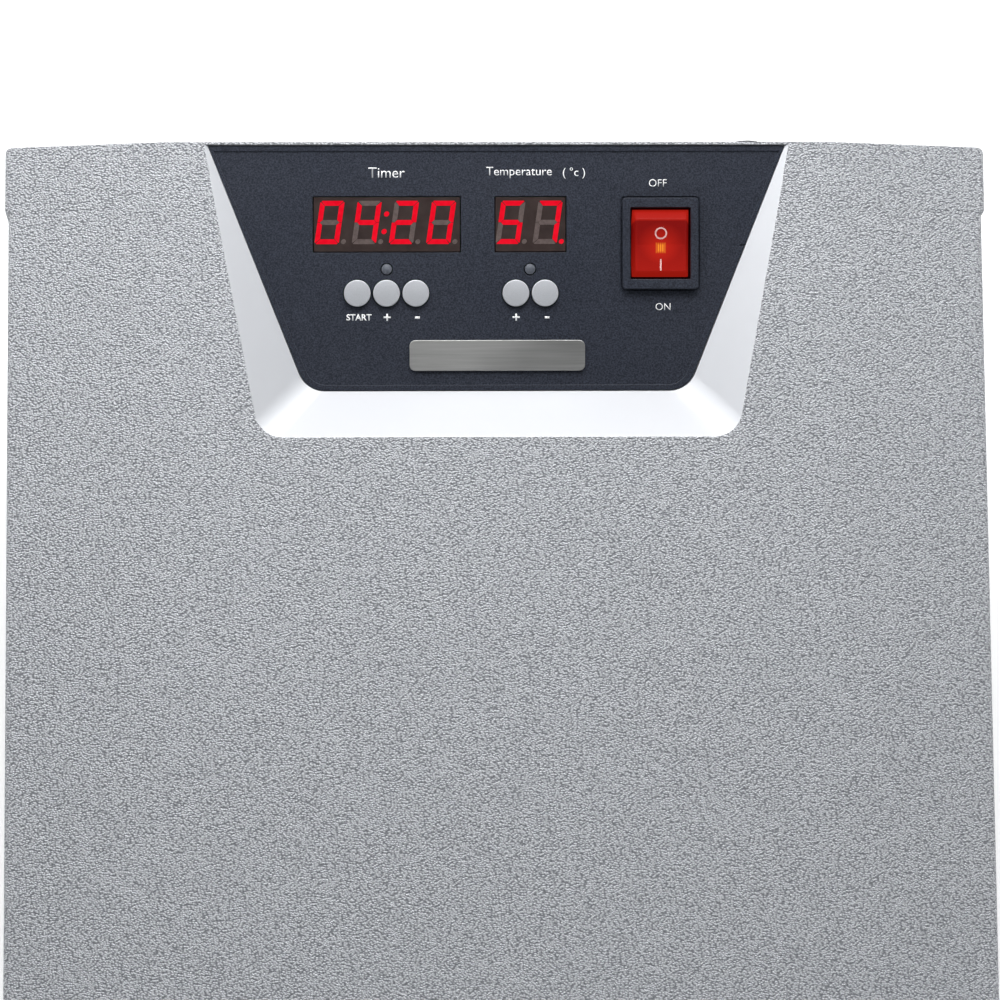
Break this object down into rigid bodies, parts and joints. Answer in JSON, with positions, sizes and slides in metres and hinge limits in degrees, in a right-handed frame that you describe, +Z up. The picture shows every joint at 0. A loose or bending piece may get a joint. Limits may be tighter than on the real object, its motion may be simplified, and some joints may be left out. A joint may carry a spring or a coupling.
{
  "type": "filament dryer box",
  "caption": "Cabinet-style hot-air dryer with a sunk top control panel, slide-out shelves, a rear fan and heater, and a side-hinged see-through door.",
  "frame": {"origin": "on the standing plane, at the middle of the pad under the base pan", "axes": "+Z up, +Y to the back, +X to the right of someone facing the door; the door stands open at rest"},
  "size_m": [0.3545, 0.7761, 0.3151],
  "materials": {
    "silver_plastic": "leather-grained silver paint-effect moulding",
    "charcoal_plastic": "fine spark texture",
    "black_plastic": "satin",
    "grey_liner": "satin",
    "sheet_steel": "satin sheet",
    "bright_steel": "bright",
    "rubber": "matt",
    "smoked_window": "clear smoke tint",
    "display_face": "dark filter over lit segments",
    "button_silver": "satin silver",
    "lens": "clear, unlit",
    "rocker_red": "translucent red",
    "circuit_board": "solder mask",
    "heater_tube": "heat-tinted",
    "mica": "mica board",
    "tray_plastic": "white polypropylene"
  },
  "bodies": {
    "housing": {"top_cover": "silver_plastic", "base_pan": "charcoal_plastic", "left_side_panel": "silver_plastic", "right_side_panel": "silver_plastic", "left_grip_cup": "black_plastic", "right_grip_cup": "black_plastic", "front_frame": "charcoal_plastic", "rear_cover": "black_plastic", "door_seal": "rubber", "door_magnet": "black_plastic", "cable_gland": "black_plastic", "lower_left_screw": "bright_steel", "lower_right_screw": "bright_steel", "upper_left_screw": "bright_steel", "upper_right_screw": "bright_steel", "front_left_foot": "rubber", "front_right_foot": "rubber", "rear_left_foot": "rubber", "rear_right_foot": "rubber", "left_tray_rails": "grey_liner", "right_tray_rails": "grey_liner", "chamber_floor": "sheet_steel", "chamber_ceiling": "sheet_steel", "air_baffle": "sheet_steel", "fan_shroud": "black_plastic", "fan_motor": "bright_steel", "motor_bracket": "sheet_steel", "heater_element": "heater_tube", "heater_bracket": "mica", "thermal_cutoff": "bright_steel", "temperature_sensor": "bright_steel", "control_fascia": "charcoal_plastic", "badge_plate": "bright_steel", "timer_display": "display_face", "temperature_display": "display_face", "timer_indicator": "lens", "temperature_indicator": "lens", "rocker_housing": "black_plastic", "control_board": "circuit_board", "power_board": "circuit_board", "lower_hinge_bracket": "sheet_steel", "upper_hinge_bracket": "sheet_steel", "lower_hinge_pin": "bright_steel", "upper_hinge_pin": "bright_steel"},
    "door": {"door_frame": "silver_plastic", "door_window": "smoked_window", "door_handle": "charcoal_plastic", "strike_plate": "bright_steel"},
    "fan": {"fan_impeller": "black_plastic", "fan_shaft": "bright_steel"},
    "lower_tray_body": {"lower_tray": "tray_plastic"},
    "middle_tray_body": {"middle_tray": "tray_plastic"},
    "upper_tray_body": {"upper_tray": "tray_plastic"},
    "start_key": {"start_button": "button_silver"},
    "timer_plus_key": {"timer_plus_button": "button_silver"},
    "timer_minus_key": {"timer_minus_button": "button_silver"},
    "temperature_plus_key": {"temperature_plus_button": "button_silver"},
    "temperature_minus_key": {"temperature_minus_button": "button_silver"},
    "rocker": {"rocker_paddle": "rocker_red"}
  },
  "joints": [
    {"name": "door_hinge", "type": "hinge", "parent": "housing", "child": "door", "pos_m": [-0.158, -0.219, 0.162], "axis": [0, 0, -1], "range_deg": [-90, 0]},
    {"name": "fan_spin", "type": "hinge", "parent": "housing", "child": "fan", "pos_m": [0, 0.163, 0.15], "axis": [0, 1, 0], "continuous": true},
    {"name": "lower_tray_slide", "type": "slide", "parent": "housing", "child": "lower_tray_body", "axis": [0, -1, 0], "range_m": [0, 0.3]},
    {"name": "middle_tray_slide", "type": "slide", "parent": "housing", "child": "middle_tray_body", "axis": [0, -1, 0], "range_m": [0, 0.3]},
    {"name": "upper_tray_slide", "type": "slide", "parent": "housing", "child": "upper_tray_body", "axis": [0, -1, 0], "range_m": [0, 0.3]},
    {"name": "start_press", "type": "slide", "parent": "housing", "child": "start_key", "axis": [0, 0.165, -0.9863], "range_m": [0, 0.001], "stiffness_N_per_m": 600, "springref_m": -0.0004},
    {"name": "timer_plus_press", "type": "slide", "parent": "housing", "child": "timer_plus_key", "axis": [0, 0.165, -0.9863], "range_m": [0, 0.001], "stiffness_N_per_m": 600, "springref_m": -0.0004},
    {"name": "timer_minus_press", "type": "slide", "parent": "housing", "child": "timer_minus_key", "axis": [0, 0.165, -0.9863], "range_m": [0, 0.001], "stiffness_N_per_m": 600, "springref_m": -0.0004},
    {"name": "temperature_plus_press", "type": "slide", "parent": "housing", "child": "temperature_plus_key", "axis": [0, 0.165, -0.9863], "range_m": [0, 0.001], "stiffness_N_per_m": 600, "springref_m": -0.0004},
    {"name": "temperature_minus_press", "type": "slide", "parent": "housing", "child": "temperature_minus_key", "axis": [0, 0.165, -0.9863], "range_m": [0, 0.001], "stiffness_N_per_m": 600, "springref_m": -0.0004},
    {"name": "rocker_tilt", "type": "hinge", "parent": "housing", "child": "rocker", "pos_m": [0.0559, 0.19093, 0.30763], "axis": [1, 0, 0], "range_deg": [-16, 0]}
  ]
}
